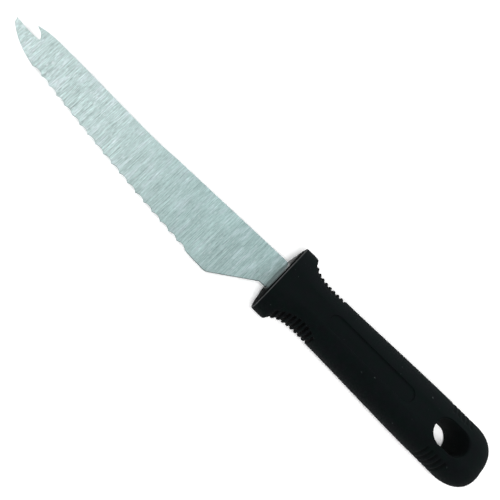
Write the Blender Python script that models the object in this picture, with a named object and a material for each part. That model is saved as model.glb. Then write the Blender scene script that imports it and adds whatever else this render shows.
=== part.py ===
"""Bar knife: a forked, scallop-edged stainless blade moulded into a ribbed plastic handle.

It lies on its side, with +X from the fork to the butt, +Y to the spine and +Z up.
Sizes are in metres. Places along it are counted from the front corners of the guard.
"""

import math

import bmesh
import bpy

# Handle: overall sizes, and an oval section that is flattened top and bottom.
HANDLE_LENGTH = 0.1035
HANDLE_THICKNESS = 0.0180
SECTION_POWER = 2.4
FLAT_SHARE = 0.97
SECTION_POINTS = 44

# Handle: half widths along it, with a guard that flares out of the grip.
GUARD_HALF = 0.01550
GUARD_DEPTH = 0.0058
FLARE_LENGTH = 0.0034
WAIST_HALF = 0.01062
BELLY_HALF = 0.01228
WAIST_SHARE = 0.10
BELLY_SHARE = 0.82

# Handle: domed front and rounded butt.
DOME_RISE = 0.0023
DOME_POWER = 3.0
FRONT_FILLET = 0.0004
BUTT_ROUND = 0.0125
BUTT_PLAN_POWER = 2.4
BUTT_SIDE_POWER = 2.0

# Grip ribs: grooves across both sides of the flare, which end on an arc over the shoulders.
RIB_GROOVES = 9
RIB_PITCH = 0.0020
RIB_START = 0.0073
RIB_WIDTH = 0.0009
RIB_DEPTH = 0.00065
RIB_REACH = 0.0074
RIB_ARC = 0.0100
GROOVE_FADE = 0.0009

# Thumb marks: shallow grooves on both shoulders, beside the hang hole.
MARK_GROOVES = 5
MARK_PITCH = 0.0021
MARK_WIDTH = 0.0010
MARK_DEPTH = 0.0003
MARK_REACH = 0.0074
MARK_SIDE_FADE = 0.0020

# Hang hole, and the sunk panel on the upper face.
HOLE_LENGTH = 0.0148
HOLE_WIDTH = 0.0103
HOLE_FROM_BUTT = 0.0199
HOLE_FILLET = 0.0009
PANEL_START = 0.0225
PANEL_TO_HOLE = 0.0120
PANEL_WIDTH = 0.0062
PANEL_DEPTH = 0.0004

# Blade: sheet, reach ahead of the guard, and the tang inside the handle.
SHEET = 0.0012
BLADE_REACH = 0.1391
NECK_WIDTH = 0.0129
NECK_LENGTH = 0.0045
SHOULDER_X = 0.0050
SHOULDER_SLOPE = 0.0025
TANG_WIDTH = 0.0110
TANG_TO_HOLE = 0.0120
LOCK_HOLE = 0.0050
LOCK_SETBACK = 0.0130
CLEARANCE = 0.0003

# Blade: heel, scalloped edge and the grind behind it.
HEEL_BACK = 0.0214
HEEL_DEPTH = 0.0184
HEEL_ROUND = 0.0044
NECK_ROUND = 0.0008
PLAIN_EDGE = 0.0105
PLAIN_EDGE_RISE = 0.00035
SCALLOP_PITCH = 0.00465
SCALLOP_DEPTH = 0.0008
FIRST_TOOTH_BACK = 0.0189
FIRST_TOOTH_DEPTH = 0.0088
EDGE_SAG = 0.00075
GRIND_WIDTH = 0.0013
EDGE_LAND = 0.0003

# Blade: fork, measured back from the long prong's point.
POINT_Y = 0.00045
BLUNT_BACK = 0.0009
BLUNT_DEPTH = 0.0020
SHORT_PRONG_BACK = 0.0073
SHORT_PRONG_Y = 0.0037
NOTCH_BACK = 0.0121
NOTCH_Y = 0.0004
NOTCH_RADIUS = 0.0004
NOTCH_ARC = 125

# Blade: the spine's straight run, its hollow and its swell before the fork.
RUN_SHARE = 0.41
RUN_Y = 0.00485
HOLLOW_SHARE = 0.50
HOLLOW_Y = 0.00428
SWELL_SHARE = 0.83
SWELL_Y = 0.00496

# Blade: slopes of its edges, as rise over run.
BELLY_SLOPE = -0.78
TOOTH_SLOPE = -0.18
FLOOR_SLOPE = 0.12
PRONG_TOP_SLOPE = 0.30
PRONG_INSIDE_SLOPE = -0.35
NOTCH_SIDE_SLOPE = -1.30

# Finish of the curves, and how far cutters stand clear of what they cut.
CURVE_STEPS = 12
SCALLOP_STEPS = 6
ROUND_STEPS = 12
CORNER_STEPS = 5
LOCK_SIDES = 24
DOME_SHARES = (0.15, 0.45, 0.65, 0.8, 0.9, 0.97)
GRIP_RINGS = 9
BUTT_RINGS = 11
BUTT_LAST_ANGLE = 86
GROOVE_FLAT_SHARE = 0.35
CUT_MARGIN = 0.0020


def clear_scene():
    """Removes the objects that are in the scene."""
    for thing in list(bpy.data.objects):
        bpy.data.objects.remove(thing, do_unlink=True)


def make_material(name, colour, roughness, metallic):
    """A Principled material of one finish."""
    material = bpy.data.materials.new(name)
    material.use_nodes = True
    shader = material.node_tree.nodes["Principled BSDF"]
    shader.inputs["Base Color"].default_value = (*colour, 1.0)
    shader.inputs["Roughness"].default_value = roughness
    shader.inputs["Metallic"].default_value = metallic
    return material


def steel_material():
    return make_material("brushed_stainless", (0.47, 0.58, 0.58), 0.34, 1.0)


def plastic_material():
    return make_material("black_plastic", (0.012, 0.016, 0.017), 0.38, 0.0)


def smooth_step(value):
    t = min(1.0, max(0.0, value))
    return t * t * (3 - 2 * t)


def arc(centre, radius, start, end, steps):
    """Points on an arc in plan, with angles in degrees and both ends included."""
    points = []
    for i in range(steps + 1):
        angle = math.radians(start + (end - start) * i / steps)
        points.append((centre[0] + radius * math.cos(angle), centre[1] + radius * math.sin(angle)))
    return points


def sweep(start, start_slope, end, end_slope, steps):
    """Points on a smooth curve between two places, with the slope of each end, without its last point."""
    run = end[0] - start[0]
    points = []
    for i in range(steps):
        t = i / steps
        rise = start[1] + (end[1] - start[1]) * smooth_step(t)
        bend = t * (1 - t) ** 2 * start_slope - t * t * (1 - t) * end_slope
        points.append((start[0] + run * t, rise + run * bend))
    return points


def between(start, end, share):
    return tuple(a + (b - a) * share for a, b in zip(start, end))


def rounded_corner(before, corner, after, radius, steps):
    """Points that round off the corner between two straight runs."""
    inward = math.atan2(before[1] - corner[1], before[0] - corner[0])
    outward = math.atan2(after[1] - corner[1], after[0] - corner[0])
    turn = (outward - inward + math.pi) % (2 * math.pi) - math.pi
    reach = radius / math.sin(abs(turn) / 2)
    middle = inward + turn / 2
    centre = (corner[0] + reach * math.cos(middle), corner[1] + reach * math.sin(middle))
    side = math.copysign(1.0, turn)
    start = math.degrees(inward - side * math.pi / 2)
    return arc(centre, radius, start, start - side * (180 - math.degrees(abs(turn))), steps)


def slot_outline(start_x, end_x, width, grow, steps):
    """A round-ended slot along X, grown by a clearance."""
    radius = width / 2
    back = arc((end_x - radius, 0.0), radius + grow, -90, 90, steps)
    return back + arc((start_x + radius, 0.0), radius + grow, 90, 270, steps)


def at_height(outline, z):
    return [(x, y, z) for x, y in outline]


def loft(name, rings, frame):
    """A closed body skinned over rings of points, with a flat cap on each end."""
    bm = bmesh.new()
    loops = [[bm.verts.new(point) for point in ring] for ring in rings]
    for near, far in zip(loops, loops[1:]):
        for i, corner in enumerate(near):
            j = (i + 1) % len(near)
            bm.faces.new((corner, near[j], far[j], far[i]))
    bm.faces.new(loops[0])
    bm.faces.new(loops[-1])
    bmesh.ops.recalc_face_normals(bm, faces=bm.faces)
    mesh = bpy.data.meshes.new(name)
    bm.to_mesh(mesh)
    bm.free()
    body = bpy.data.objects.new(name, mesh)
    body.parent = frame
    bpy.context.collection.objects.link(body)
    return body


def make_cutter(name, rings, frame):
    """A body that only cuts others, and is left out of the model itself."""
    body = loft(name, rings, frame)
    body.hide_render = True
    body.display_type = "WIRE"
    return body


def cut(body, cutter):
    """Takes the cutter's shape out of the body."""
    modifier = body.modifiers.new(cutter.name, "BOOLEAN")
    modifier.operation = "DIFFERENCE"
    modifier.solver = "EXACT"
    modifier.object = cutter


def hole_middle_x():
    return HANDLE_LENGTH - HOLE_FROM_BUTT


def hole_front_x():
    return hole_middle_x() - HOLE_LENGTH / 2


def tang_end_x():
    return hole_front_x() - TANG_TO_HOLE


def tooth_tips():
    """The tooth tips along the shallow curve of the edge, from the fork to the plain edge."""
    first = (FIRST_TOOTH_BACK - BLADE_REACH, -FIRST_TOOTH_DEPTH)
    last = (-HEEL_BACK - PLAIN_EDGE, PLAIN_EDGE_RISE - HEEL_DEPTH)
    count = max(1, round((last[0] - first[0]) / SCALLOP_PITCH))
    tips = []
    for i in range(count + 1):
        x, y = between(first, last, i / count)
        tips.append((x, y - EDGE_SAG * 4 * i * (count - i) / count**2))
    return tips


def scallop(left, right, grind):
    """The arc of one scallop between two tips, made wider by the grind, with its centre and radius."""
    chord = math.dist(left, right)
    radius = (chord**2 / 4 + SCALLOP_DEPTH**2) / (2 * SCALLOP_DEPTH)
    outward = ((right[1] - left[1]) / chord, (left[0] - right[0]) / chord)
    lift = radius - SCALLOP_DEPTH
    centre = tuple((a + b) / 2 + lift * o for a, b, o in zip(left, right, outward))
    wide = radius + grind
    half = math.degrees(math.asin(chord / 2 / wide))
    inward = math.degrees(math.atan2(-outward[1], -outward[0]))
    return centre, wide, arc(centre, wide, inward + half, inward - half, SCALLOP_STEPS)


def where_line_meets_arc(tip, toward, centre, radius):
    """The place where the run from an end tip leaves the ground arc of the end scallop."""
    length = math.dist(tip, toward)
    along = between((0.0, 0.0), (toward[0] - tip[0], toward[1] - tip[1]), 1 / length)
    away = (tip[0] - centre[0], tip[1] - centre[1])
    b = along[0] * away[0] + along[1] * away[1]
    step = math.sqrt(b * b + radius**2 - away[0] ** 2 - away[1] ** 2) - b
    return (tip[0] + along[0] * step, tip[1] + along[1] * step)


def scalloped_edge(before, after, grind):
    """The row of scallops, between the point before it and the point after it."""
    tips = tooth_tips()
    points = [tips[0]]
    for left, right in zip(tips, tips[1:]):
        centre, radius, arc_points = scallop(left, right, grind)
        if left == tips[0]:
            points = [where_line_meets_arc(left, before, centre, radius)]
        if right == tips[-1]:
            arc_points[-1] = where_line_meets_arc(right, after, centre, radius)
        points += arc_points[1:]
    return points


def notch():
    """The rounded bottom of the notch, from the short prong's side to the long prong's."""
    centre = (NOTCH_BACK - NOTCH_RADIUS - BLADE_REACH, NOTCH_Y)
    return arc(centre, NOTCH_RADIUS, NOTCH_ARC - 90, -90, CORNER_STEPS)


def long_prong():
    """From the notch, round the long prong's point, to the run before the first tooth."""
    point = (-BLADE_REACH, POINT_Y)
    blunt = (BLUNT_BACK - BLADE_REACH, POINT_Y - BLUNT_DEPTH)
    tooth = tooth_tips()[0]
    lead_in = (tooth[0] - SCALLOP_DEPTH, tooth[1] - SCALLOP_DEPTH * TOOTH_SLOPE)
    points = notch()[:-1] + sweep(notch()[-1], FLOOR_SLOPE, point, -FLOOR_SLOPE, CURVE_STEPS)
    points += [point] + sweep(blunt, BELLY_SLOPE, lead_in, TOOTH_SLOPE, CURVE_STEPS)
    return points + [lead_in]


def spine():
    """From the guard along the hollow spine to the short prong's point, and down to the notch."""
    root = (-NECK_LENGTH, NECK_WIDTH / 2)
    run = (-BLADE_REACH * RUN_SHARE, RUN_Y)
    hollow = (-BLADE_REACH * HOLLOW_SHARE, HOLLOW_Y)
    swell = (-BLADE_REACH * SWELL_SHARE, SWELL_Y)
    prong = (SHORT_PRONG_BACK - BLADE_REACH, SHORT_PRONG_Y)
    run_slope = (root[1] - run[1]) / (root[0] - run[0])
    points = [root] + sweep(run, run_slope, hollow, 0.0, CURVE_STEPS)
    points += sweep(hollow, 0.0, swell, 0.0, CURVE_STEPS)
    points += sweep(swell, 0.0, prong, PRONG_TOP_SLOPE, CURVE_STEPS)
    return points + sweep(prong, PRONG_INSIDE_SLOPE, notch()[0], NOTCH_SIDE_SLOPE, CURVE_STEPS // 2)


def tang_outline(grow):
    """The tang from the edge side of the neck round its end to the spine side, grown by a clearance."""
    neck_y = NECK_WIDTH / 2 + grow
    tang_y = TANG_WIDTH / 2 + grow
    shoulder = SHOULDER_X + grow
    slope_end = shoulder + SHOULDER_SLOPE
    points = [(shoulder, -neck_y), (slope_end, -tang_y)]
    points += arc((tang_end_x() - TANG_WIDTH / 2, 0.0), tang_y, -90, 90, ROUND_STEPS)
    return points + [(slope_end, tang_y), (shoulder, neck_y)]


def blade_outline(grind):
    """The whole blade in plan, with its scallops made wider by the grind."""
    heel = (-HEEL_BACK, -HEEL_DEPTH)
    neck = (-NECK_LENGTH, -NECK_WIDTH / 2)
    ahead = long_prong()
    points = ahead + scalloped_edge(ahead[-1], heel, grind)
    points += rounded_corner(tooth_tips()[-1], heel, neck, HEEL_ROUND, CORNER_STEPS)
    points += rounded_corner(heel, neck, (0.0, neck[1]), NECK_ROUND, CORNER_STEPS)
    return points + tang_outline(0.0) + spine()


def lock_places():
    return (SHOULDER_X + LOCK_SETBACK, tang_end_x() - LOCK_SETBACK)


def lock_cutters(name, radius, half_height, frame):
    """Round bodies at the places where the handle's plastic runs through the tang."""
    cutters = []
    for i, x in enumerate(lock_places()):
        circle = arc((x, 0.0), radius, 0, 360 * (1 - 1 / LOCK_SIDES), LOCK_SIDES - 1)
        rings = [at_height(circle, -half_height), at_height(circle, half_height)]
        cutters.append(make_cutter(f"{name}_{i + 1}", rings, frame))
    return cutters


def make_blade(frame):
    """The blade: one sheet, its scallops ground from the lower face, with lock holes in its tang."""
    ground = blade_outline(GRIND_WIDTH)
    sharp = blade_outline(0.0)
    top = SHEET / 2
    rings = [at_height(ground, -top), at_height(sharp, top - EDGE_LAND), at_height(sharp, top)]
    blade = loft("blade", rings, frame)
    blade.data.materials.append(steel_material())
    for cutter in lock_cutters("lock_hole", LOCK_HOLE / 2, SHEET, frame):
        cut(blade, cutter)
    return blade


def half_width(x):
    """Half the handle's width in plan, from the guard to the start of the round butt."""
    share = x / HANDLE_LENGTH
    swell = smooth_step((share - WAIST_SHARE) / (BELLY_SHARE - WAIST_SHARE))
    grip = WAIST_HALF + (BELLY_HALF - WAIST_HALF) * swell
    flare = math.exp(-max(0.0, x - GUARD_DEPTH) / FLARE_LENGTH)
    return grip + (GUARD_HALF - grip) * flare


def section_point(width, thickness, angle):
    """A point of the flattened oval section, and the way out of the surface there."""
    power = SECTION_POWER
    full = thickness / FLAT_SHARE
    y = width * math.copysign(abs(math.cos(angle)) ** (2 / power), math.cos(angle))
    z = full * math.copysign(abs(math.sin(angle)) ** (2 / power), math.sin(angle))
    out_y = math.copysign(abs(y / width) ** (power - 1) / width, y)
    out_z = math.copysign(abs(z / full) ** (power - 1) / full, z)
    length = math.hypot(out_y, out_z)
    return y, math.copysign(min(abs(z), thickness), z), out_y / length, out_z / length


def groove_centres(start, pitch, count):
    return [start + i * pitch for i in range(count)]


def rib_centres():
    return groove_centres(RIB_START, RIB_PITCH, RIB_GROOVES)


def mark_centres():
    start = hole_middle_x() - MARK_PITCH * (MARK_GROOVES - 1) / 2
    return groove_centres(start, MARK_PITCH, MARK_GROOVES)


def groove_depth(x, centres, width, depth):
    """Depth of a row of grooves with soft shoulders, at a place along the handle."""
    shares = [1 - smooth_step(2 * abs(x - centre) / width - GROOVE_FLAT_SHARE) for centre in centres]
    return depth * max(shares)


def rib_cut(x, y):
    """How deep the grip ribs' grooves are at a place in plan."""
    centres = rib_centres()
    middle = sum(centres) / len(centres)
    reach = RIB_REACH + (x - middle) ** 2 / (2 * RIB_ARC)
    return smooth_step((abs(y) - reach) / GROOVE_FADE) * groove_depth(x, centres, RIB_WIDTH, RIB_DEPTH)


def mark_cut(x, y, z):
    """How deep the thumb marks are at a place on the handle's shoulders."""
    share = smooth_step((abs(y) - MARK_REACH) / GROOVE_FADE) * smooth_step(abs(z) / MARK_SIDE_FADE)
    return share * groove_depth(x, mark_centres(), MARK_WIDTH, MARK_DEPTH)


def plain_ring(x, width, thickness):
    """One section of the handle where nothing crosses it."""
    ring = []
    for i in range(SECTION_POINTS):
        y, z, _, _ = section_point(width, thickness, 2 * math.pi * (i + 0.5) / SECTION_POINTS)
        ring.append((x, y, z))
    return ring


def grooved_ring(x, width, thickness):
    """One section of the handle, with the grooves that cross it."""
    ring = []
    for i in range(SECTION_POINTS):
        y, z, out_y, out_z = section_point(width, thickness, 2 * math.pi * (i + 0.5) / SECTION_POINTS)
        depth = rib_cut(x, y) + mark_cut(x, y, z)
        ring.append((x, y - depth * out_y, z - depth * out_z))
    return ring


def groove_stations(centres, width, pitch):
    """Places along the handle that carry the shape of a row of grooves."""
    floor = width * GROOVE_FLAT_SHARE / 2
    lip = floor + width / 2
    places = [centre + offset for centre in centres for offset in (-lip, -floor, floor, lip)]
    return places + [centre + pitch / 2 for centre in centres] + [centres[0] - pitch / 2]


def front_rings():
    """Sections of the domed front, out to the small fillet at its edge."""
    thick = HANDLE_THICKNESS / 2
    rings = []
    for share in DOME_SHARES:
        x = -DOME_RISE * (1 - share**DOME_POWER)
        rings.append(plain_ring(x, GUARD_HALF * share, thick * share))
    inset = FRONT_FILLET * (1 - math.sqrt(0.5))
    return rings + [plain_ring(inset, GUARD_HALF - inset, thick - inset)]


def grip_rings():
    """Sections from the guard to where the butt starts to round."""
    ribs = groove_stations(rib_centres(), RIB_WIDTH, RIB_PITCH)
    marks = groove_stations(mark_centres(), MARK_WIDTH, MARK_PITCH)
    places = [FRONT_FILLET, GUARD_DEPTH / 2, GUARD_DEPTH] + ribs + marks
    spacing = (min(marks) - max(ribs)) / (GRIP_RINGS + 1)
    places += [max(ribs) + spacing * i for i in range(1, GRIP_RINGS + 1)]
    butt_x = HANDLE_LENGTH - BUTT_ROUND
    kept = sorted(x for x in places if x < butt_x) + [butt_x]
    return [grooved_ring(x, half_width(x), HANDLE_THICKNESS / 2) for x in kept]


def butt_rings():
    """Sections of the rounded butt."""
    butt_x = HANDLE_LENGTH - BUTT_ROUND
    last = math.sin(math.radians(BUTT_LAST_ANGLE))
    rings = []
    for i in range(1, BUTT_RINGS + 1):
        t = math.sin(math.radians(BUTT_LAST_ANGLE * i / BUTT_RINGS))
        x = butt_x + BUTT_ROUND * t / last
        wide = half_width(butt_x) * (1 - t**BUTT_PLAN_POWER) ** (1 / BUTT_PLAN_POWER)
        high = HANDLE_THICKNESS / 2 * (1 - t**BUTT_SIDE_POWER) ** (1 / BUTT_SIDE_POWER)
        rings.append(plain_ring(x, wide, high))
    return rings


def tang_pocket(frame):
    """The space that the tang fills, with the plastic pegs left standing in it."""
    front = -DOME_RISE - CUT_MARGIN
    neck_y = NECK_WIDTH / 2 + CLEARANCE
    outline = [(front, -neck_y)] + tang_outline(CLEARANCE) + [(front, neck_y)]
    high = SHEET / 2 + CLEARANCE
    pocket = make_cutter("tang_pocket", [at_height(outline, -high), at_height(outline, high)], frame)
    for peg in lock_cutters("lock_peg", LOCK_HOLE / 2 - CLEARANCE, 2 * high, frame):
        cut(pocket, peg)
    return pocket


def hang_hole(frame):
    """A round-ended hole through both broad faces, with rounded rims."""
    face = HANDLE_THICKNESS / 2
    levels = [(face + CUT_MARGIN, HOLE_FILLET)]
    for i in range(CORNER_STEPS, -1, -1):
        angle = i * math.pi / (2 * CORNER_STEPS + 2)
        levels.append((face - HOLE_FILLET * (1 - math.sin(angle)), HOLE_FILLET * (1 - math.cos(angle))))
    start = hole_front_x()
    rings = []
    for z, grow in [(-z, grow) for z, grow in levels] + levels[::-1]:
        outline = slot_outline(start, start + HOLE_LENGTH, HOLE_WIDTH, grow, ROUND_STEPS)
        rings.append(at_height(outline, z))
    return make_cutter("hang_hole", rings, frame)


def sunk_panel(frame):
    """The shallow round-ended panel in the upper face."""
    face = HANDLE_THICKNESS / 2
    outline = slot_outline(PANEL_START, hole_front_x() - PANEL_TO_HOLE, PANEL_WIDTH, 0.0, ROUND_STEPS)
    rings = [at_height(outline, face - PANEL_DEPTH), at_height(outline, face + CUT_MARGIN)]
    return make_cutter("sunk_panel", rings, frame)


def make_handle(frame):
    """The handle: one moulding round the tang, with its grooves, panel and hang hole."""
    handle = loft("handle", front_rings() + grip_rings() + butt_rings(), frame)
    handle.data.materials.append(plastic_material())
    handle.data.shade_smooth()
    handle.data.set_sharp_from_angle(angle=math.radians(35))
    for cutter in (tang_pocket(frame), hang_hole(frame), sunk_panel(frame)):
        cut(handle, cutter)
    return handle


def rest_on_origin(frame, bodies):
    """Moves the knife's frame so that the bodies' box stands centred on the origin."""
    corners = [vertex.co for body in bodies for vertex in body.data.vertices]
    spans = [(min(c[axis] for c in corners), max(c[axis] for c in corners)) for axis in range(3)]
    frame.location = (-sum(spans[0]) / 2, -sum(spans[1]) / 2, -spans[2][0])


clear_scene()
knife_frame = bpy.data.objects.new("knife_frame", None)
bpy.context.collection.objects.link(knife_frame)
rest_on_origin(knife_frame, [make_blade(knife_frame), make_handle(knife_frame)])
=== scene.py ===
"""Bar knife: a brushed stainless blade with a black plastic handle moulded on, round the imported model.

It lies on its side, with +X from the fork to the butt, +Y to the spine and +Z up, in metres.
Places on it are counted from the guard's front corners, on the handle's centre line.
"""

import math

import bmesh
import bpy
from mathutils import Matrix, Vector
from mathutils.geometry import interpolate_bezier


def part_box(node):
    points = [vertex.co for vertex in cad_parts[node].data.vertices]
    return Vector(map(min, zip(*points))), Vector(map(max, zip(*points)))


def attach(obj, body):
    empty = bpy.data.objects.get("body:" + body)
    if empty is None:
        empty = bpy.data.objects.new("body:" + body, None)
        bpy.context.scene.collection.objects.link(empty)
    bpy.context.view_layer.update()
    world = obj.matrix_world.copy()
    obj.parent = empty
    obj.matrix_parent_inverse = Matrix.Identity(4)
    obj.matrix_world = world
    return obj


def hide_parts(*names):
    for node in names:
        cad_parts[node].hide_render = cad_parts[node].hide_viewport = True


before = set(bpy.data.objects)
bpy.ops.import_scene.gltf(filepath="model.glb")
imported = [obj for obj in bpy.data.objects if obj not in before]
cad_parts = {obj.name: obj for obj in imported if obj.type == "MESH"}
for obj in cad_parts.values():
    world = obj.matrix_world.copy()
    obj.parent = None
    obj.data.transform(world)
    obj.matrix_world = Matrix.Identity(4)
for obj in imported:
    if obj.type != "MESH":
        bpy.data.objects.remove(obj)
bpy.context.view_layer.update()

# Blade: one sheet of stainless steel, stamped to the forked outline, scalloped by grinding its lower face,
# and brushed across. It is held by its tang, which has two holes that the handle's plastic runs through.
blade_low, blade_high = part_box("blade")
handle_low, handle_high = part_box("handle")
SHEET = blade_high.z - blade_low.z
BLADE_REACH = 0.1391
BOX_CLEARANCE = 0.000001
START = Vector((
    blade_low.x + BLADE_REACH + BOX_CLEARANCE,
    (handle_low.y + handle_high.y) / 2,
    (blade_low.z + blade_high.z) / 2,
))

POINT_Y = 0.00045
BLUNT_BACK = 0.0009
BLUNT_DEPTH = 0.0020
LONG_PRONG_SLOPE = -0.78
SHORT_PRONG_BACK = 0.0073
SHORT_PRONG_Y = 0.0037
SHORT_PRONG_SLOPE = 0.30
SHORT_PRONG_INNER_SLOPE = -0.35
NOTCH_BACK = 0.0121
NOTCH_Y = 0.0004
NOTCH_RADIUS = 0.0004
NOTCH_SIDE_ANGLE = math.radians(35)
NOTCH_SIDE_SLOPE = -1.30
NOTCH_FLOOR_SLOPE = 0.12

HEEL_BACK = 0.0214
HEEL_DEPTH = 0.018398
HEEL_ROUND = 0.0044
NECK_ROUND = 0.0008
NECK_WIDTH = 0.0129
NECK_LENGTH = 0.0045
PLAIN_EDGE = 0.0105
PLAIN_EDGE_RISE = 0.00035
SCALLOP_PITCH = 0.00465
SCALLOP_DEPTH = 0.0008
FIRST_TOOTH_BACK = 0.0189
FIRST_TOOTH_DEPTH = 0.0088
FIRST_TOOTH_SLOPE = -0.18
EDGE_SAG = 0.00075
GRIND_WIDTH = 0.0013
EDGE_LAND = 0.0003
BROKEN_EDGE = 0.00007

RUN_SHARE = 0.41
RUN_Y = 0.00485
HOLLOW_SHARE = 0.50
HOLLOW_Y = 0.00428
SWELL_SHARE = 0.83
SWELL_Y = 0.00496

SHOULDER_X = 0.0050
SHOULDER_SLOPE = 0.0025
TANG_WIDTH = 0.0110
TANG_END = 0.0642
LOCK_HOLE = 0.0050
FIRST_LOCK_X = 0.0180
LAST_LOCK_BACK = 0.0130

CURVE_STEPS = 32
SCALLOP_STEPS = 10
ROUND_STEPS = 24
LOCK_SEGMENTS = 48


def line_to(bm, pen, x, y):
    """Extrudes the outline's last corner to a new place in plan."""
    pen = bmesh.ops.extrude_vert_indiv(bm, verts=[pen])["verts"][0]
    pen.co.xy = x, y
    return pen


def arc_to(bm, pen, centre, end, steps):
    """Spins the outline's last corner about a centre, as far as its end."""
    out = pen.co.xy - Vector(centre)
    goal = Vector(end) - Vector(centre)
    turn = math.atan2(out.x * goal.y - out.y * goal.x, out.dot(goal))
    made = bmesh.ops.spin(
        bm, geom=[pen], cent=(*centre, pen.co.z), axis=(0, 0, 1), angle=turn, steps=steps, use_merge=False
    )
    pen = next(thing for thing in made["geom_last"] if isinstance(thing, bmesh.types.BMVert))
    pen.co.xy = end
    return pen


def curve_to(bm, pen, slope, end, end_slope, steps=CURVE_STEPS):
    """Draws a smooth run to its end, from the slope of each of its ends."""
    third = (end[0] - pen.co.x) / 3
    start = pen.co.xy
    leave = start + Vector((third, third * slope))
    arrive = Vector(end) - Vector((third, third * end_slope))
    for place in interpolate_bezier(start, leave, arrive, end, steps + 1)[1:]:
        pen = line_to(bm, pen, *place)
    return pen


def round_to(bm, pen, corner, after, radius):
    """Draws on to a corner and rounds it towards the place after it."""
    corner = Vector(corner)
    back = (pen.co.xy - corner).normalized()
    on = (Vector(after) - corner).normalized()
    half = back.angle(on) / 2
    centre = corner + (back + on).normalized() * radius / math.sin(half)
    length = radius / math.tan(half)
    pen = line_to(bm, pen, *(corner + back * length))
    return arc_to(bm, pen, centre, corner + on * length, ROUND_STEPS // 2)


def tooth_tips():
    """The tooth tips, on the shallow curve of the edge from the fork to the plain edge."""
    first = Vector((FIRST_TOOTH_BACK - BLADE_REACH, -FIRST_TOOTH_DEPTH))
    last = Vector((-HEEL_BACK - PLAIN_EDGE, PLAIN_EDGE_RISE - HEEL_DEPTH))
    count = round((last.x - first.x) / SCALLOP_PITCH)
    sag = Vector((0, 4 * EDGE_SAG))
    return [first.lerp(last, i / count) - sag * i * (count - i) / count**2 for i in range(count + 1)]


def where_run_leaves_arc(tip, toward, centre, radius):
    """The place where the straight run from an end tip comes out of the ground arc."""
    along = (toward - tip).normalized()
    away = tip - centre
    b = along.dot(away)
    return tip + along * (math.sqrt(b * b + radius**2 - away.length_squared) - b)


def draw_scallops(bm, pen, heel, grind):
    """Draws the ground row of scallops, each an arc of the wheel, made wider by the grind."""
    tips = tooth_tips()
    for left, right in zip(tips, tips[1:]):
        chord = (right - left).length
        radius = (chord**2 / 4 + SCALLOP_DEPTH**2) / (2 * SCALLOP_DEPTH)
        outward = Vector((right.y - left.y, left.x - right.x)) / chord
        centre = (left + right) / 2 + outward * (radius - SCALLOP_DEPTH)
        wide = radius + grind
        end = centre + (right - left) / 2 - outward * math.sqrt(wide**2 - chord**2 / 4)
        if left == tips[0]:
            start = where_run_leaves_arc(left, pen.co.xy, centre, wide)
            pen = line_to(bm, pen, *start)
        if right == tips[-1]:
            end = where_run_leaves_arc(right, heel, centre, wide)
        pen = arc_to(bm, pen, centre, end, SCALLOP_STEPS)
    return pen


def draw_tang(bm, pen, grow):
    """Draws the tang round from the edge side of the neck, grown by a clearance."""
    tang_y = TANG_WIDTH / 2 + grow
    neck_y = NECK_WIDTH / 2 + grow
    shoulder = SHOULDER_X + grow
    turn_x = TANG_END - TANG_WIDTH / 2
    pen = line_to(bm, pen, shoulder, -neck_y)
    pen = line_to(bm, pen, shoulder + SHOULDER_SLOPE, -tang_y)
    pen = line_to(bm, pen, turn_x, -tang_y)
    pen = arc_to(bm, pen, (turn_x, 0), (turn_x + tang_y, 0), ROUND_STEPS // 2)
    pen = arc_to(bm, pen, (turn_x, 0), (turn_x, tang_y), ROUND_STEPS // 2)
    pen = line_to(bm, pen, shoulder + SHOULDER_SLOPE, tang_y)
    return line_to(bm, pen, shoulder, neck_y)


def draw_blade(bm, z, grind):
    """Draws the whole blade's outline at one height, and returns its edges."""
    before = set(bm.edges)
    notch_centre = Vector((NOTCH_BACK - NOTCH_RADIUS - BLADE_REACH, NOTCH_Y))
    notch_side = Vector((math.cos(NOTCH_SIDE_ANGLE), math.sin(NOTCH_SIDE_ANGLE)))
    notch_start = notch_centre + NOTCH_RADIUS * notch_side
    point = (-BLADE_REACH, POINT_Y)
    blunt = (BLUNT_BACK - BLADE_REACH, POINT_Y - BLUNT_DEPTH)
    ahead = tooth_tips()[0] - SCALLOP_DEPTH * Vector((1, FIRST_TOOTH_SLOPE))
    heel = Vector((-HEEL_BACK, -HEEL_DEPTH))
    neck = Vector((-NECK_LENGTH, -NECK_WIDTH / 2))
    run = (-BLADE_REACH * RUN_SHARE, RUN_Y)
    run_slope = (-neck.y - run[1]) / (neck.x - run[0])
    prong = (SHORT_PRONG_BACK - BLADE_REACH, SHORT_PRONG_Y)

    start = bm.verts.new((*notch_start, z))
    pen = arc_to(bm, start, notch_centre, notch_centre - Vector((0, NOTCH_RADIUS)), ROUND_STEPS // 3)
    pen = curve_to(bm, pen, NOTCH_FLOOR_SLOPE, point, -NOTCH_FLOOR_SLOPE)
    pen = line_to(bm, pen, *blunt)
    pen = curve_to(bm, pen, LONG_PRONG_SLOPE, ahead, FIRST_TOOTH_SLOPE)
    pen = draw_scallops(bm, pen, heel, grind)
    pen = round_to(bm, pen, heel, neck, HEEL_ROUND)
    pen = round_to(bm, pen, neck, (0, neck.y), NECK_ROUND)
    pen = draw_tang(bm, pen, 0)
    pen = line_to(bm, pen, neck.x, -neck.y)
    pen = line_to(bm, pen, *run)
    pen = curve_to(bm, pen, run_slope, (-BLADE_REACH * HOLLOW_SHARE, HOLLOW_Y), 0)
    pen = curve_to(bm, pen, 0, (-BLADE_REACH * SWELL_SHARE, SWELL_Y), 0)
    pen = curve_to(bm, pen, 0, prong, SHORT_PRONG_SLOPE)
    pen = curve_to(bm, pen, SHORT_PRONG_INNER_SLOPE, notch_start, NOTCH_SIDE_SLOPE, CURVE_STEPS // 4)
    bmesh.ops.weld_verts(bm, targetmap={pen: start})
    return [edge for edge in bm.edges if edge not in before]


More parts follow.
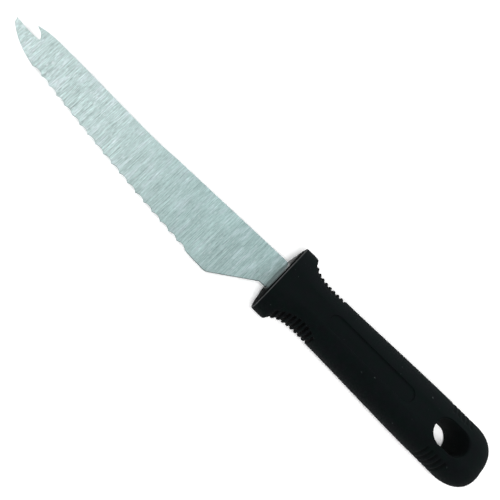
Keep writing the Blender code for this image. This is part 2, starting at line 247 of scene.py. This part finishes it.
def raise_loop(bm, edges, z):
    """Extrudes a closed loop of edges to a new height, and returns its copy."""
    made = bmesh.ops.extrude_edge_only(bm, edges=edges)["geom"]
    for corner in made:
        if isinstance(corner, bmesh.types.BMVert):
            corner.co.z = z
    return [edge for edge in made if isinstance(edge, bmesh.types.BMEdge)]


def make_piece(name, bm, finish):
    """Moves a finished shape from the guard's front corners to the model's place, and makes it a piece."""
    bmesh.ops.translate(bm, verts=bm.verts, vec=START)
    bmesh.ops.recalc_face_normals(bm, faces=bm.faces)
    mesh = bpy.data.meshes.new(name)
    bm.to_mesh(mesh)
    bm.free()
    piece = bpy.data.objects.new(name, mesh)
    bpy.context.scene.collection.objects.link(piece)
    if finish:
        mesh.materials.append(finish)
    return piece


def cut(piece, cutters):
    """Takes the cutters' shapes out of a piece for good, and removes them."""
    for cutter in cutters:
        modifier = piece.modifiers.new(cutter.name, "BOOLEAN")
        modifier.operation = "DIFFERENCE"
        modifier.solver = "EXACT"
        modifier.object = cutter
    graph = bpy.context.evaluated_depsgraph_get()
    mesh = bpy.data.meshes.new_from_object(piece.evaluated_get(graph))
    piece.modifiers.clear()
    piece.data = mesh
    for cutter in cutters:
        bpy.data.objects.remove(cutter)


def lock_cutters(diameter, height):
    """Round bodies at the tang's two holes."""
    cutters = []
    radius = diameter / 2
    for x in (FIRST_LOCK_X, TANG_END - LAST_LOCK_BACK):
        bm = bmesh.new()
        bmesh.ops.create_cone(
            bm, cap_ends=True, segments=LOCK_SEGMENTS, radius1=radius, radius2=radius, depth=height,
            matrix=Matrix.Translation((x, 0, 0)),
        )
        cutters.append(make_piece("lock_cutter", bm, None))
    return cutters


class Value:
    """A socket that sums are written with, each of which adds its Math node."""

    def __init__(self, nodes, socket):
        self.nodes = nodes
        self.socket = socket

    def sum(self, operation, first, second):
        """Adds the Math node of one operation."""
        return self.nodes.add("Math", {"operation": operation}, {0: first, 1: second})

    def __add__(self, other):
        return self.sum("ADD", self, other)

    def __radd__(self, other):
        return self.sum("ADD", other, self)

    def __sub__(self, other):
        return self.sum("SUBTRACT", self, other)

    def __rsub__(self, other):
        return self.sum("SUBTRACT", other, self)

    def __mul__(self, other):
        return self.sum("MULTIPLY", self, other)

    def __rmul__(self, other):
        return self.sum("MULTIPLY", other, self)


class Nodes:
    """A node tree that is built up one node at a time."""

    def __init__(self, tree):
        self.tree = tree

    def add(self, kind, settings=None, sockets=None, output=0):
        """Adds a node: its settings first, then the values or links of its sockets."""
        node = self.tree.nodes.new("ShaderNode" + kind)
        for name, value in (settings or {}).items():
            setattr(node, name, value)
        for name, value in (sockets or {}).items():
            self.feed(node.inputs[name], value)
        return Value(self, node.outputs[output])

    def feed(self, socket, value):
        """Links a socket, or sets what it holds."""
        if isinstance(value, Value):
            self.tree.links.new(value.socket, socket)
        else:
            socket.default_value = value

    def axis(self, where, letter):
        """One axis of a place."""
        return self.add("SeparateXYZ", None, {0: where}, letter)

    def noise(self, where, scale, detail, roughness):
        """Noise about 0, at most 0.5 either way, stretched by the scale of each axis."""
        place = self.add("Mapping", None, {"Vector": where, "Scale": scale})
        sockets = {"Vector": place, "Scale": 1, "Detail": detail, "Roughness": roughness}
        return self.add("TexNoise", None, sockets) - 0.5

    def step(self, value, low, high):
        """Rises smoothly from 0 to 1 between two values."""
        sockets = {"Value": value, "From Min": low, "From Max": high}
        return self.add("MapRange", {"interpolation_type": "SMOOTHSTEP"}, sockets)

    def blend(self, share, first, second):
        """A mix of two colours."""
        return self.add("Mix", {"data_type": "RGBA"}, {0: share, 6: first, 7: second}, 2)

    def tint(self, colour, amount):
        """A colour made lighter or darker by a factor."""
        return self.add("VectorMath", {"operation": "SCALE"}, {0: colour, "Scale": amount})


def new_material(name):
    """A material, with its nodes and its Principled shader."""
    material = bpy.data.materials.new(name)
    material.use_nodes = True
    return material, Nodes(material.node_tree), material.node_tree.nodes["Principled BSDF"]


# The steel's colours, its brushing, where these change, and how much each counts. A texture is given by its
# scale in strokes per metre, its detail and its roughness. Painted shade darkens the steel's colour from the
# fork to the heel, past the heel, beside the guard and on the cut edges, and the glints are partly painted
# highlights.
FORK_STEEL = (0.478, 0.588, 0.576, 1)
HEEL_STEEL_SHADED = (0.351, 0.456, 0.445, 1)
FORK_LILAC = (0.568, 0.625, 0.652, 1)
HEEL_LILAC_SHADED = (0.398, 0.461, 0.480, 1)
PAINTED_GLINT_STEEL = (0.784, 0.827, 0.844, 1)

HAIRS = ((3700, 58, 1), 2, 0.6)
STROKES = ((2800, 190, 1), 2, 0.5)
FLECKS = ((4200, 700, 1), 2, 0.6)
BANDS = ((420, 110, 1), 3, 0.6)
GLINTS = ((3000, 430, 1), 1, 0.5)
BRUSH_STRAIGHT_X = -0.020
BRUSH_FAN = 0.14

FORK_SHARES = (0.0, 0.9)
SPINE_PLACES = (0.0005, 0.0045)
SHADE_FALLOFF_PLACES = (-0.090, -0.036)
HEEL_PLACES = (-0.031, -0.020)
NECK_PLACES = (-0.010, -0.004)
GUARD_PLACES = (0.0, -0.003)
LILAC_LEVELS = (-0.02, 0.16)
GLINT_LEVELS = (0.08, 0.20)

HAIR_WEIGHT = 0.95
STROKE_WEIGHT = 0.65
BAND_WEIGHT = 0.25
FLECK_WEIGHT = 0.50
FLECK_FORK_GAIN = 0.35
GRAIN_WEIGHT = 1.15
GRAIN_FORK_GAIN = 0.85
GRAIN_SPINE_LOSS = 1.1
HEEL_PAINTED_SHADE = 0.15
NECK_PAINTED_SHADE = 0.12
LILAC_SHARE = 0.5
GLINT_SHARE = 0.85
GLINT_HEEL_SHARE = 0.2
GLINT_SPINE_LOSS = 0.8
SHEARED_SHADED_TONE = 0.40
SHEARED_SHADED_FORK_GAIN = 0.45

STEEL_ROUGHNESS = 0.40
STROKE_ROUGHNESS = 0.16
GLINT_POLISH = 0.08
SHEARED_ROUGHNESS = 0.12
HAIR_DEPTH_SHARE = 0.6
BRUSH_DEPTH = 0.00004
BRUSH_BUMP = 0.2


def steel_finish():
    """Stainless steel brushed across the blade: streaks of several sizes, polished glints lightened as
    painted highlights, and rougher cut edges; painted shade darkens the cut edges, the steel towards the
    heel and beside the guard.
    """
    material, nodes, shader = new_material("brushed_stainless")
    here = nodes.add("TexCoord", None, None, "Object")
    x = nodes.axis(here, "X")
    y = nodes.axis(here, "Y")
    along = x - START.x
    across = y - START.y
    forward = (BRUSH_STRAIGHT_X - x) * (1 / BLADE_REACH)
    fanned = nodes.add("CombineXYZ", None, {"X": x + BRUSH_FAN * forward * across, "Y": y})
    toward_fork = nodes.step(forward, *FORK_SHARES)
    toward_spine = nodes.step(across, *SPINE_PLACES)
    # Painted shade: the steel's colour and its lilac darken from the fork towards the heel.
    painted_heel_falloff = nodes.step(along, *SHADE_FALLOFF_PLACES)
    # Painted shade past the heel, on to the guard.
    painted_shade_past_heel = nodes.step(along, *HEEL_PLACES)
    # Painted shade on the neck, fading back to none at the guard.
    painted_shade_at_neck = nodes.step(along, *NECK_PLACES) * nodes.step(along, *GUARD_PLACES)
    sheared = nodes.add("Attribute", {"attribute_name": "sheared"}, None, "Fac")
    hairs = nodes.noise(fanned, *HAIRS)
    strokes = nodes.noise(fanned, *STROKES)
    flecks = nodes.noise(fanned, *FLECKS)
    bands = nodes.noise(fanned, *BANDS)
    # Glints: polished streaks, smoother, whose colour is lightened as painted highlights, fewer towards the
    # heel and the spine.
    polish_and_painted_glints = nodes.step(nodes.noise(fanned, *GLINTS), *GLINT_LEVELS)
    polish_and_painted_glints = polish_and_painted_glints * (GLINT_HEEL_SHARE + (1 - GLINT_HEEL_SHARE) * toward_fork)
    polish_and_painted_glints = polish_and_painted_glints * (1 - GLINT_SPINE_LOSS * toward_spine)

    grain = HAIR_WEIGHT * hairs + STROKE_WEIGHT * strokes + BAND_WEIGHT * bands
    grain = grain + (FLECK_WEIGHT + FLECK_FORK_GAIN * toward_fork) * flecks
    weight = GRAIN_WEIGHT + GRAIN_FORK_GAIN * toward_fork - GRAIN_SPINE_LOSS * toward_fork * toward_spine
    grain = 1 + weight * grain
    steel = nodes.blend(painted_heel_falloff, FORK_STEEL, HEEL_STEEL_SHADED)
    steel = nodes.tint(steel, grain * (1 - HEEL_PAINTED_SHADE * painted_shade_past_heel - NECK_PAINTED_SHADE * painted_shade_at_neck))
    lilac = nodes.tint(nodes.blend(painted_heel_falloff, FORK_LILAC, HEEL_LILAC_SHADED), grain)
    steel = nodes.blend(LILAC_SHARE * nodes.step(bands, *LILAC_LEVELS), steel, lilac)
    steel = nodes.blend(GLINT_SHARE * polish_and_painted_glints, steel, PAINTED_GLINT_STEEL)
    # The cut edges: rougher, and darkened as painted shade, less so towards the fork.
    steel = nodes.blend(sheared, steel, nodes.tint(steel, SHEARED_SHADED_TONE + SHEARED_SHADED_FORK_GAIN * toward_fork))
    nodes.feed(shader.inputs["Base Color"], steel)

    roughness = STEEL_ROUGHNESS + STROKE_ROUGHNESS * strokes + SHEARED_ROUGHNESS * sheared
    nodes.feed(shader.inputs["Roughness"], roughness - GLINT_POLISH * polish_and_painted_glints)
    shader.inputs["Metallic"].default_value = 1.0
    bump = {"Height": HAIR_DEPTH_SHARE * hairs + strokes, "Strength": BRUSH_BUMP, "Distance": BRUSH_DEPTH}
    nodes.feed(shader.inputs["Normal"], nodes.add("Bump", None, bump))
    return material


def make_blade():
    """The ground outline of the lower face, bridged to the sharp outline above, and parted at each tooth."""
    bm = bmesh.new()
    sheared = bm.faces.layers.float.new("sheared")
    top = SHEET / 2
    ground = draw_blade(bm, -top, GRIND_WIDTH)
    sharp = draw_blade(bm, top - EDGE_LAND, 0)
    bmesh.ops.bridge_loops(bm, edges=ground + sharp)
    rim = raise_loop(bm, sharp, top)
    # The side walls are marked as cut edges, for a rougher finish and painted shade.
    for face in bm.faces:
        face[sheared] = 1
    bmesh.ops.edgeloop_fill(bm, edges=ground)
    bmesh.ops.edgeloop_fill(bm, edges=rim)
    bmesh.ops.recalc_face_normals(bm, faces=bm.faces)
    bmesh.ops.bevel(
        bm, geom=ground + rim, offset=BROKEN_EDGE, segments=1, profile=0.5, affect="EDGES", material=-1
    )
    for tip in tooth_tips() + [Vector((-NECK_LENGTH, 0)), Vector((SHOULDER_X, 0))]:
        everything = bm.verts[:] + bm.edges[:] + bm.faces[:]
        bmesh.ops.bisect_plane(bm, geom=everything, plane_co=(tip.x, 0, 0), plane_no=(1, 0, 0))
    return make_piece("stainless_blade", bm, steel_finish())


blade = make_blade()
cut(blade, lock_cutters(LOCK_HOLE, 2 * SHEET))
blade.data.shade_flat()
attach(blade, "root")
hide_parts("blade")

# Handle: one injection moulding of black plastic, shot round the tang and through its holes. It has a flared
# guard with a domed front, grip ribs on both sides, a sunk panel on the upper face, thumb marks, and a
# round-ended hole to hang it by.
HANDLE_LENGTH = handle_high.x - START.x
HALF_THICKNESS = (handle_high.z - handle_low.z) / 2
GUARD_HALF = (handle_high.y - handle_low.y) / 2
SECTION_POWER = 2.4
FLAT_SHARE = 0.97
SECTION_POINTS = 160

GUARD_DEPTH = 0.0058
FLARE_LENGTH = 0.0034
WAIST_HALF = 0.01062
BELLY_HALF = 0.01228
WAIST_SHARE = 0.10
BELLY_SHARE = 0.82

DOME_RISE = 0.0022
FRONT_BOW = 0.00035
DOME_POWER = 2.2
DOME_RINGS = 24
BOSS_HALF = 0.0107
BOSS_HALF_THICKNESS = 0.0075
BOSS_EDGE = 0.00012
BOSS_DRAFT = 0.00008
BOSS_FOOT = 0.00005
RIM_RISE = 0.0007
RIM_RINGS = 5
FRONT_FILLET = 0.0004
FILLET_RINGS = 5
BUTT_ROUND = 0.0125
BUTT_PLAN_POWER = 2.4
BUTT_SIDE_POWER = 2.0
BUTT_RINGS = 36
BUTT_LAST_ANGLE = math.radians(88)

RIB_GROOVES = 9
RIB_PITCH = 0.0020
RIB_START = 0.0073
RIB_WIDTH = 0.0012
RIB_DEPTH = 0.00065
RIB_MIDDLE = 0.0172
RIB_REACH = 0.0072
RIB_ARC = 0.0140
GROOVE_FADE = 0.0009
GROOVE_FLAT_SHARE = 0.40

MARK_GROOVES = 5
MARK_PITCH = 0.0021
MARK_WIDTH = 0.0013
MARK_DEPTH = 0.0003
MARK_SHADE = 0.55
MARK_REACH = 0.0074
MARK_SIDE_FADE = 0.0020

HOLE_LENGTH = 0.0148
HOLE_WIDTH = 0.0103
HOLE_BACK = 0.0199
HOLE_START = HANDLE_LENGTH - HOLE_BACK - HOLE_LENGTH / 2
HOLE_FILLET = 0.0009
HOLE_FILLET_STEPS = 9
PANEL_START = 0.0225
PANEL_GAP = 0.0120
PANEL_END = HOLE_START - PANEL_GAP
PANEL_WIDTH = 0.0062
PANEL_DEPTH = 0.0004
PANEL_ROUND = 0.00012

COARSE_STEP = 0.0007
FINE_STEP = 0.00014
SEAT = 0.00002
CUT_MARGIN = 0.0020
SHARP_ANGLE = math.radians(38)


def smooth_step(value):
    """Rises smoothly from 0 to 1 as the value does, and stays there."""
    t = min(1.0, max(0.0, value))
    return t * t * (3 - 2 * t)


def half_width(x):
    """Half the handle's width in plan, from the guard to where the butt starts to round."""
    share = x / HANDLE_LENGTH
    swell = smooth_step((share - WAIST_SHARE) / (BELLY_SHARE - WAIST_SHARE))
    grip = WAIST_HALF + (BELLY_HALF - WAIST_HALF) * swell
    return grip + (GUARD_HALF - grip) * math.exp(-max(0.0, x - GUARD_DEPTH) / FLARE_LENGTH)


def groove_depth(x, start, pitch, count, width, depth):
    """Depth of a row of soft-shouldered grooves, at a place along the handle."""
    nearest = start + pitch * min(count - 1, max(0, round((x - start) / pitch)))
    return depth * (1 - smooth_step(2 * abs(x - nearest) / width - GROOVE_FLAT_SHARE))


def rib_cut(x, y):
    """How deep the grip ribs' grooves are, which end on an arc over each shoulder."""
    reach = RIB_REACH + (x - RIB_MIDDLE) ** 2 / (2 * RIB_ARC)
    depth = groove_depth(x, RIB_START, RIB_PITCH, RIB_GROOVES, RIB_WIDTH, RIB_DEPTH)
    return depth * smooth_step((abs(y) - reach) / GROOVE_FADE)


def mark_cut(x, y, z):
    """How deep the thumb marks are, on the shoulders beside the hang hole."""
    start = HOLE_START + HOLE_LENGTH / 2 - MARK_PITCH * (MARK_GROOVES - 1) / 2
    depth = groove_depth(x, start, MARK_PITCH, MARK_GROOVES, MARK_WIDTH, MARK_DEPTH)
    return depth * smooth_step((abs(y) - MARK_REACH) / GROOVE_FADE) * smooth_step(abs(z) / MARK_SIDE_FADE)


def shape_ring(corners, layers, x, width, thickness, painted_shade_and_rub):
    """Shapes a ring to the handle's flattened oval, with the grooves that cross it."""
    around, painted_shade_and_rub_layer = layers
    full = thickness / FLAT_SHARE
    bow = FRONT_BOW * (1 - smooth_step(x / GUARD_DEPTH))
    for corner in corners:
        angle = 2 * math.pi * (corner[around] + 0.5) / SECTION_POINTS
        y = width * math.copysign(abs(math.cos(angle)) ** (2 / SECTION_POWER), math.cos(angle))
        z = full * math.copysign(abs(math.sin(angle)) ** (2 / SECTION_POWER), math.sin(angle))
        out = Vector((
            0,
            math.copysign(abs(y / width) ** (SECTION_POWER - 1) / width, y),
            math.copysign(abs(z / full) ** (SECTION_POWER - 1) / full, z),
        )).normalized()
        z = math.copysign(min(abs(z), thickness), z)
        bowed = x - bow * (1 - (y / GUARD_HALF) ** 2)
        rib, mark = rib_cut(x, y), mark_cut(x, y, z)
        corner.co = Vector((bowed, y, z)) - out * (rib + mark)
        # Grooves are marked to darken the plastic as painted shade, the thumb marks by MARK_SHADE of it.
        corner[painted_shade_and_rub_layer] = painted_shade_and_rub - rib / RIB_DEPTH - MARK_SHADE * mark / MARK_DEPTH


def ring_places():
    """Place, half width, half thickness and shade-or-rub value of each ring, from the dome's middle to the
    butt.
    """
    places = []
    front = FRONT_BOW - DOME_RISE
    dome = -RIM_RISE - BOSS_EDGE - front
    for i in range(1, DOME_RINGS + 1):
        share = i / DOME_RINGS
        places.append((front + dome * share**DOME_POWER, BOSS_HALF * share, BOSS_HALF_THICKNESS * share, 0))
    places.append((-RIM_RISE - BOSS_FOOT, BOSS_HALF + BOSS_DRAFT, BOSS_HALF_THICKNESS + BOSS_DRAFT, 0))
    # The rim's rings, from the crease round the boss to the fillet, are marked for painted shade; the
    # fillet's are rubbed.
    for i in range(RIM_RINGS):
        share = i / RIM_RINGS
        wide = BOSS_HALF + BOSS_DRAFT + (GUARD_HALF - FRONT_FILLET - BOSS_HALF - BOSS_DRAFT) * share
        high = BOSS_HALF_THICKNESS + BOSS_DRAFT
        high += (HALF_THICKNESS - FRONT_FILLET - high) * share
        places.append((-RIM_RISE * (1 - share**2), wide, high, -1))
    for i in range(FILLET_RINGS):
        angle = math.radians(90 * i / FILLET_RINGS)
        inset = FRONT_FILLET * (1 - math.sin(angle))
        x = FRONT_FILLET * (1 - math.cos(angle))
        places.append((x, GUARD_HALF - inset, HALF_THICKNESS - inset, 1 if i else 0))
    x = FRONT_FILLET
    butt_x = HANDLE_LENGTH - BUTT_ROUND
    ribs = (RIB_START - RIB_WIDTH, RIB_START + RIB_PITCH * (RIB_GROOVES - 1) + RIB_WIDTH)
    marks = (HOLE_START, HOLE_START + HOLE_LENGTH)
    while x < butt_x:
        places.append((x, half_width(x), HALF_THICKNESS, 0))
        grooved = ribs[0] < x < ribs[1] or marks[0] < x < marks[1]
        x += FINE_STEP if grooved else COARSE_STEP
    for i in range(BUTT_RINGS + 1):
        t = math.sin(BUTT_LAST_ANGLE * i / BUTT_RINGS)
        wide = half_width(butt_x) * (1 - t**BUTT_PLAN_POWER) ** (1 / BUTT_PLAN_POWER)
        high = HALF_THICKNESS * (1 - t**BUTT_SIDE_POWER) ** (1 / BUTT_SIDE_POWER)
        places.append((butt_x + BUTT_ROUND * t / math.sin(BUTT_LAST_ANGLE), wide, high, 0))
    return places


def tang_cutter():
    """The space that the tang fills, open at the dome."""
    bm = bmesh.new()
    high = SHEET / 2 + SEAT
    front = -DOME_RISE - CUT_MARGIN
    side = NECK_WIDTH / 2 + SEAT
    start = bm.verts.new((front, -side, -high))
    pen = draw_tang(bm, start, SEAT)
    pen = line_to(bm, pen, front, side)
    bm.edges.new((pen, start))
    lower = bm.edges[:]
    upper = raise_loop(bm, lower, high)
    bmesh.ops.edgeloop_fill(bm, edges=lower)
    bmesh.ops.edgeloop_fill(bm, edges=upper)
    return make_piece("tang_cutter", bm, None)


def slot_cutter(name, start_x, end_x, width, levels):
    """A round-ended slot along the handle, as wide at each level as its growth there says."""
    bm = bmesh.new()
    radius = width / 2
    first = bm.verts.new((end_x - radius, -radius, levels[0][0]))
    pen = arc_to(bm, first, (end_x - radius, 0), (end_x, 0), ROUND_STEPS)
    pen = arc_to(bm, pen, (end_x - radius, 0), (end_x - radius, radius), ROUND_STEPS)
    pen = line_to(bm, pen, start_x + radius, radius)
    pen = arc_to(bm, pen, (start_x + radius, 0), (start_x, 0), ROUND_STEPS)
    pen = arc_to(bm, pen, (start_x + radius, 0), (start_x + radius, -radius), ROUND_STEPS)
    bm.edges.new((pen, first))
    loop = bm.edges[:]
    bottom = loop
    for level, (z, grow) in enumerate(levels):
        if level:
            loop = raise_loop(bm, loop, z)
        for corner in {corner for edge in loop for corner in edge.verts}:
            middle = Vector((min(end_x - radius, max(start_x + radius, corner.co.x)), 0))
            corner.co.xy = middle + (corner.co.xy - middle).normalized() * (radius + grow)
    bmesh.ops.edgeloop_fill(bm, edges=bottom)
    bmesh.ops.edgeloop_fill(bm, edges=loop)
    return make_piece(name, bm, None)


def hole_cutter():
    """The hang hole, with its rims rounded over."""
    upper = []
    for i in range(HOLE_FILLET_STEPS):
        angle = math.radians(90 * i / HOLE_FILLET_STEPS)
        z = HALF_THICKNESS - HOLE_FILLET * (1 - math.sin(angle))
        upper.append((z, HOLE_FILLET * (1 - math.cos(angle))))
    upper.append((HALF_THICKNESS + CUT_MARGIN, HOLE_FILLET))
    levels = [(-z, grow) for z, grow in upper[::-1]] + upper
    return slot_cutter("hole_cutter", HOLE_START, HOLE_START + HOLE_LENGTH, HOLE_WIDTH, levels)


def panel_cutter():
    """The sunk panel, with its floor's corner and its rim eased."""
    floor = HALF_THICKNESS - PANEL_DEPTH
    levels = [
        (floor, -PANEL_ROUND),
        (floor + PANEL_ROUND, 0),
        (HALF_THICKNESS - PANEL_ROUND, 0),
        (HALF_THICKNESS + PANEL_ROUND, 2 * PANEL_ROUND),
        (HALF_THICKNESS + CUT_MARGIN, 2 * PANEL_ROUND),
    ]
    return slot_cutter("panel_cutter", PANEL_START, PANEL_END, PANEL_WIDTH, levels)


# The plastic's colours and textures, where the guard's front is glossy, and by how much each thing counts.
# The grooves, the thumb marks and the rim round the guard's boss are darkened as painted shade.
GREEN_BLACK = (0.0021, 0.0043, 0.0040, 1)
BLUE_BLACK = (0.0031, 0.0038, 0.0045, 1)
SPECK_GREY = (0.05, 0.06, 0.06, 1)

MOULD_GRAIN = ((5200, 5200, 5200), 2, 0.6)
MOTTLE = ((420, 420, 420), 3, 0.6)
FLOW = ((40, 90, 90), 2, 0.5)
BLOTCHES = ((330, 330, 330), 3, 0.6)
SPECKS = ((900, 900, 900), 1, 0.5)

BLOTCH_LEVELS = (-0.15, 0.15)
SPECK_LEVELS = (0.27, 0.31)
SUNK_SHADE_LEVELS = (-0.2, -0.8)
RUBBED_WEAR = (0.2, 0.8)

FRONT_PLACES = (-0.0008, -0.0010)
EDGE_GLOSS_PLACES = (-0.0074, -0.0048)
SPINE_GLOSS_PLACES = (0.0052, 0.0068)
SPINE_GLOSS_LOSS = 0.78
GLOSS_LEAN = 0.29
GRAZING_LEVELS = (0.30, 0.50)
RUBBED_GLOSS = 0.16
GLOSS_ROUGHNESS = 0.10
GLOSS_INDEX = 4.0

PLASTIC_SHINE = 0.055
FLOW_WEIGHT = 0.7
SUNK_SHADE = 0.9
SPECK_SHARE = 0.8
PLASTIC_ROUGHNESS = 0.84
MOTTLE_ROUGHNESS = 0.16
FLOW_ROUGHNESS = 0.10
MOTTLE_DEPTH_SHARE = 0.8
MOULD_DEPTH = 0.00005
MOULD_BUMP = 0.35


def plastic_finish():
    """Black plastic with a fine moulded grain, a few pale specks, a rubbed rim and a glossy guard front, and
    painted shade in the grooves, the thumb marks and the rim round the guard's boss.
    """
    material, nodes, shader = new_material("black_plastic")
    here = nodes.add("TexCoord", None, None, "Object")
    grain = nodes.noise(here, *MOULD_GRAIN)
    mottle = nodes.noise(here, *MOTTLE)
    flow = nodes.noise(here, *FLOW)
    blotches = nodes.step(nodes.noise(here, *BLOTCHES), *BLOTCH_LEVELS)
    specks = nodes.step(nodes.noise(here, *SPECKS), *SPECK_LEVELS)
    painted_shade_and_rub = nodes.add("Attribute", {"attribute_name": "painted_shade_and_rub"}, None, "Fac")
    sunk = nodes.step(painted_shade_and_rub, *SUNK_SHADE_LEVELS)
    rubbed = nodes.step(painted_shade_and_rub, *RUBBED_WEAR)
    black = nodes.blend(blotches, GREEN_BLACK, BLUE_BLACK)
    # Painted shade darkens the sunk places: the grooves, the thumb marks and the rim round the guard's boss.
    black = nodes.tint(black, (1 + mottle + FLOW_WEIGHT * flow) * (1 - SUNK_SHADE * sunk))
    nodes.feed(shader.inputs["Base Color"], nodes.blend(SPECK_SHARE * specks, black, SPECK_GREY))
    roughness = PLASTIC_ROUGHNESS + MOTTLE_ROUGHNESS * mottle + FLOW_ROUGHNESS * flow
    nodes.feed(shader.inputs["Roughness"], roughness)
    shader.inputs["Specular IOR Level"].default_value = PLASTIC_SHINE

    ahead = nodes.step(nodes.axis(here, "X") - START.x, *FRONT_PLACES)
    across = nodes.axis(here, "Y") - START.y + GLOSS_LEAN * (nodes.axis(here, "Z") - START.z)
    edge_side = nodes.step(across, *EDGE_GLOSS_PLACES)
    spine_side = nodes.step(across, *SPINE_GLOSS_PLACES)
    grazed = nodes.step(nodes.add("LayerWeight", None, {"Blend": 0.5}, "Facing"), *GRAZING_LEVELS)
    gloss = ahead * edge_side * (1 - SPINE_GLOSS_LOSS * spine_side) * grazed
    nodes.feed(shader.inputs["Coat Weight"], gloss + RUBBED_GLOSS * rubbed)
    shader.inputs["Coat Roughness"].default_value = GLOSS_ROUGHNESS
    shader.inputs["Coat IOR"].default_value = GLOSS_INDEX
    bump = {"Height": grain + MOTTLE_DEPTH_SHARE * mottle, "Strength": MOULD_BUMP, "Distance": MOULD_DEPTH}
    nodes.feed(shader.inputs["Normal"], nodes.add("Bump", None, bump))
    return material


def make_handle():
    """The handle's skin, extruded ring by ring from the dome to the butt."""
    bm = bmesh.new()
    bm.verts.layers.int.new("around")
    bm.verts.layers.float.new("painted_shade_and_rub")
    around = bm.verts.layers.int["around"]
    layers = around, bm.verts.layers.float["painted_shade_and_rub"]
    circle = bmesh.ops.create_circle(bm, cap_ends=True, segments=SECTION_POINTS, radius=GUARD_HALF)["verts"]
    for i, corner in enumerate(circle):
        corner[around] = i
    loop = bm.edges[:]
    places = ring_places()
    shape_ring(circle, layers, *places[0])
    for place in places[1:]:
        made = bmesh.ops.extrude_edge_only(bm, edges=loop)["geom"]
        shape_ring([thing for thing in made if isinstance(thing, bmesh.types.BMVert)], layers, *place)
        loop = [thing for thing in made if isinstance(thing, bmesh.types.BMEdge)]
    bmesh.ops.edgeloop_fill(bm, edges=loop)
    return make_piece("moulded_handle", bm, plastic_finish())


handle = make_handle()
pocket = tang_cutter()
cut(pocket, lock_cutters(LOCK_HOLE - 2 * SEAT, 4 * SHEET))
cut(handle, [pocket, hole_cutter(), panel_cutter()])
handle.data.shade_smooth()
handle.data.set_sharp_from_angle(angle=SHARP_ANGLE)
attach(handle, "root")
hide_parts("handle")

# Studio: a plain white floor that keeps the knife's shadow, and a white surround. A soft key lamp near the
# camera lights the knife and stays out of reflections. Two low lamps, beyond the spine and ahead of the
# fork, show only in reflections. The camera looks down on the knife from in front of its cutting edge.
FLOOR_SIZE = 4.0
FLOOR_WHITE = (0.98, 0.98, 0.98, 1)
FLOOR_GLOW = (0.14, 0.14, 0.14, 1)
FLOOR_ROUGHNESS = 0.9
KEY_PLACE = Vector((0.05, -0.25, 0.95))
KEY_SIZE = (0.30, 0.30)
KEY_WATTS = 7.6
SPINE_LAMP_PLACE = Vector((0.15, 0.75, 0.40))
SPINE_LAMP_SIZE = (0.60, 0.30)
SPINE_LAMP_WATTS = 9.0
SPINE_LAMP_COLOUR = (0.75, 1.0, 1.05)
FORK_LAMP_PLACE = Vector((-0.62, 0.05, 0.32))
FORK_LAMP_SIZE = (0.50, 0.25)
FORK_LAMP_WATTS = 0.5
SURROUND = 0.30

CAMERA_PLACE = (0.00451, -0.05665, 0.20049)
CAMERA_TURN = (12.4454, -11.3326, 43.4764)
CAMERA_LENS = 38.4
CAMERA_NEAR = 0.01


def background_rays(nodes):
    """1 for the rays that show the background: seen straight, mirrored, or through something clear."""
    seen, mirrored, cleared = [
        nodes.add("LightPath", None, None, f"Is {ray} Ray") for ray in ("Camera", "Glossy", "Transmission")
    ]
    return seen + mirrored + cleared


def make_floor():
    """The floor, which glows a little where it is seen, so that it shows as white as the surround."""
    bm = bmesh.new()
    bmesh.ops.create_grid(bm, x_segments=2, y_segments=2, size=FLOOR_SIZE / 2)
    mesh = bpy.data.meshes.new("floor")
    bm.to_mesh(mesh)
    bm.free()
    floor = bpy.data.objects.new("floor", mesh)
    bpy.context.scene.collection.objects.link(floor)
    material, nodes, shader = new_material("white_floor")
    shader.inputs["Base Color"].default_value = FLOOR_WHITE
    shader.inputs["Roughness"].default_value = FLOOR_ROUGHNESS
    shader.inputs["Specular IOR Level"].default_value = 0.0
    glow = nodes.blend(background_rays(nodes), (0, 0, 0, 1), FLOOR_GLOW)
    nodes.feed(shader.inputs["Emission Color"], glow)
    shader.inputs["Emission Strength"].default_value = 1.0
    mesh.materials.append(material)


def add_lamp(name, place, size, watts, colour=(1, 1, 1)):
    """A soft rectangular lamp that faces the knife."""
    lamp = bpy.data.lights.new(name, "AREA")
    lamp.shape = "RECTANGLE"
    lamp.size, lamp.size_y = size
    lamp.energy = watts
    lamp.color = colour
    holder = bpy.data.objects.new(name, lamp)
    holder.location = place
    holder.rotation_euler = (-place).to_track_quat("-Z", "Y").to_euler()
    bpy.context.scene.collection.objects.link(holder)
    return holder


def make_surround():
    """White to the eye, in reflections and through clear things, and dimmer as a lamp."""
    world = bpy.data.worlds.new("surround")
    world.use_nodes = True
    nodes = Nodes(world.node_tree)
    light = nodes.tint((1, 1, 1), SURROUND + (1 - SURROUND) * background_rays(nodes))
    nodes.feed(world.node_tree.nodes["Background"].inputs["Color"], light)
    bpy.context.scene.world = world


make_floor()
key = add_lamp("key_lamp", KEY_PLACE, KEY_SIZE, KEY_WATTS)
key.visible_glossy = False
spine = add_lamp("spine_lamp", SPINE_LAMP_PLACE, SPINE_LAMP_SIZE, SPINE_LAMP_WATTS, SPINE_LAMP_COLOUR)
spine.visible_diffuse = False
fork = add_lamp("fork_lamp", FORK_LAMP_PLACE, FORK_LAMP_SIZE, FORK_LAMP_WATTS)
fork.visible_diffuse = False
make_surround()
camera = bpy.data.objects.new("camera", bpy.data.cameras.new("camera"))
camera.location = CAMERA_PLACE
camera.rotation_euler = [math.radians(angle) for angle in CAMERA_TURN]
camera.data.lens = CAMERA_LENS
camera.data.clip_start = CAMERA_NEAR
bpy.context.scene.collection.objects.link(camera)
bpy.context.scene.camera = camera
bpy.context.scene.view_settings.view_transform = "Standard"
